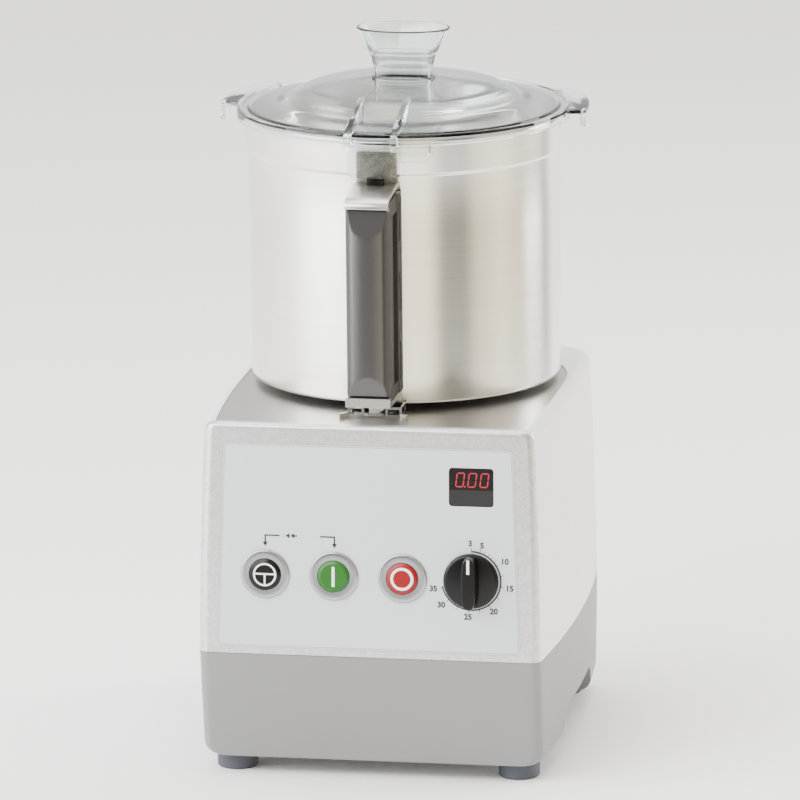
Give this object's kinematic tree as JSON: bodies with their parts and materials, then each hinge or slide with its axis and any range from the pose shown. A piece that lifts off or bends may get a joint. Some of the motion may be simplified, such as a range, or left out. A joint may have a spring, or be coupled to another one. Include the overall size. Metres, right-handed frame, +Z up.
{
  "type": "vertical cutter mixer",
  "caption": "Bench-top vertical cutter mixer: a motor base with a control panel carries a lift-off steel bowl with a handle, a clear lid with a feed funnel and a bladed cutter.",
  "frame": {"origin": "on the bench, under the middle of the whole machine's bounding box", "axes": "+Z up; the front panel faces -Y; +X is to the right as seen from the front"},
  "size_m": [0.274, 0.3126, 0.53],
  "materials": {
    "housing_plastic": "satin moulded near-white plastic",
    "plinth_plastic": "satin moulded mid-grey plastic",
    "foot_rubber": "matte bluish grey rubber",
    "satin_metal": "fine bead-blasted satin",
    "overlay_film": "light grey printed film",
    "brushed_sheet": "fine brushed stainless sheet",
    "polished_steel": "polished stainless",
    "cast_metal": "plain machined casting",
    "black_plastic": "satin black plastic",
    "white_plastic": "satin white plastic",
    "green_plastic": "satin green plastic",
    "red_plastic": "satin red plastic",
    "grip_plastic": "satin dark grey plastic",
    "clear_plastic": "clear glossy polycarbonate",
    "seal_rubber": "white silicone",
    "board_laminate": "green circuit laminate",
    "winding_copper": "varnished copper winding"
  },
  "bodies": {
    "base": {"plinth": "plinth_plastic", "bottom_plate": "brushed_sheet", "foot_front_left": "foot_rubber", "foot_front_right": "foot_rubber", "foot_rear_left": "foot_rubber", "foot_rear_right": "foot_rubber", "foot_screws": "polished_steel", "cable_gland": "black_plastic", "motor_housing": "housing_plastic", "rear_panel": "brushed_sheet", "panel_screws": "polished_steel", "front_bezel": "satin_metal", "control_overlay": "overlay_film", "display_window": "black_plastic", "display_board": "board_laminate", "pulse_bezel": "white_plastic", "start_bezel": "white_plastic", "stop_bezel": "white_plastic", "control_nuts": "cast_metal", "control_board": "board_laminate", "speed_potentiometer": "cast_metal", "deck_plate": "brushed_sheet", "bowl_seat": "cast_metal", "seat_screws": "polished_steel", "shaft_seal": "black_plastic", "deck_clip": "polished_steel", "safety_switch": "black_plastic", "motor_plate": "cast_metal", "motor_screws": "polished_steel", "motor_frame": "cast_metal", "motor_lower_shield": "cast_metal", "motor_stator": "winding_copper", "upper_bearing": "polished_steel", "lower_bearing": "polished_steel", "heat_sink": "satin_metal", "inverter_board": "board_laminate", "capacitors": "black_plastic"},
    "rotor": {"motor_shaft": "polished_steel", "rotor_core": "winding_copper", "motor_fan": "black_plastic"},
    "pulse_button": {"pulse_cap": "black_plastic"},
    "start_button": {"start_cap": "green_plastic"},
    "stop_button": {"stop_cap": "red_plastic"},
    "knob": {"speed_knob": "black_plastic"},
    "bowl": {"bowl_shell": "polished_steel", "handle_bracket": "polished_steel", "handle_foot": "polished_steel", "handle_grip": "grip_plastic", "handle_screws": "polished_steel"},
    "rod": {"safety_rod": "polished_steel", "rod_plunger": "black_plastic", "rod_tip": "white_plastic"},
    "seal": {"lid_seal": "seal_rubber"},
    "lid": {"lid_dome": "clear_plastic", "lid_latch": "clear_plastic", "feed_funnel": "clear_plastic"},
    "cutter": {"blade_hub": "black_plastic", "lower_blade": "polished_steel", "upper_blade": "polished_steel", "blade_cap": "black_plastic"}
  },
  "joints": [
    {"name": "rotor_spin", "type": "hinge", "parent": "base", "child": "rotor", "pos_m": [0, 0.03229, 0.17], "axis": [0, 0, 1], "continuous": true},
    {"name": "pulse_press", "type": "slide", "parent": "base", "child": "pulse_button", "axis": [0, 0.9991, -0.0419], "range_m": [0, 0.002], "stiffness_N_per_m": 600, "springref_m": -0.001},
    {"name": "start_press", "type": "slide", "parent": "base", "child": "start_button", "axis": [0, 0.9991, -0.0419], "range_m": [0, 0.002], "stiffness_N_per_m": 600, "springref_m": -0.001},
    {"name": "stop_press", "type": "slide", "parent": "base", "child": "stop_button", "axis": [0, 0.9991, -0.0419], "range_m": [0, 0.002], "stiffness_N_per_m": 600, "springref_m": -0.001},
    {"name": "knob_turn", "type": "hinge", "parent": "base", "child": "knob", "pos_m": [0.07605, -0.1392, 0.15465], "axis": [0, 0.9991, -0.0419], "range_deg": [0, 258]},
    {"name": "bowl_lift", "type": "slide", "parent": "base", "child": "bowl", "axis": [0, 0, 1], "range_m": [0, 0.16]},
    {"name": "cutter_lift", "type": "slide", "parent": "rotor", "child": "cutter", "axis": [0, 0, 1], "range_m": [0, 0.16]},
    {"name": "lid_lift", "type": "slide", "parent": "bowl", "child": "seal", "axis": [0, 0, 1], "range_m": [0, 0.1]},
    {"name": "lid_turn", "type": "hinge", "parent": "seal", "child": "lid", "pos_m": [0, 0.03229, 0.468], "axis": [0, 0, 1], "range_deg": [0, 25]},
    {"name": "rod_slide", "type": "slide", "parent": "bowl", "child": "rod", "axis": [0, 0, 1], "range_m": [0, 0.005]}
  ],
  "couplings": [
    {"joint": "cutter_lift", "follows": "bowl_lift", "ratio": 1},
    {"joint": "rod_slide", "follows": "lid_turn", "m_per_rad": 0.01145}
  ]
}
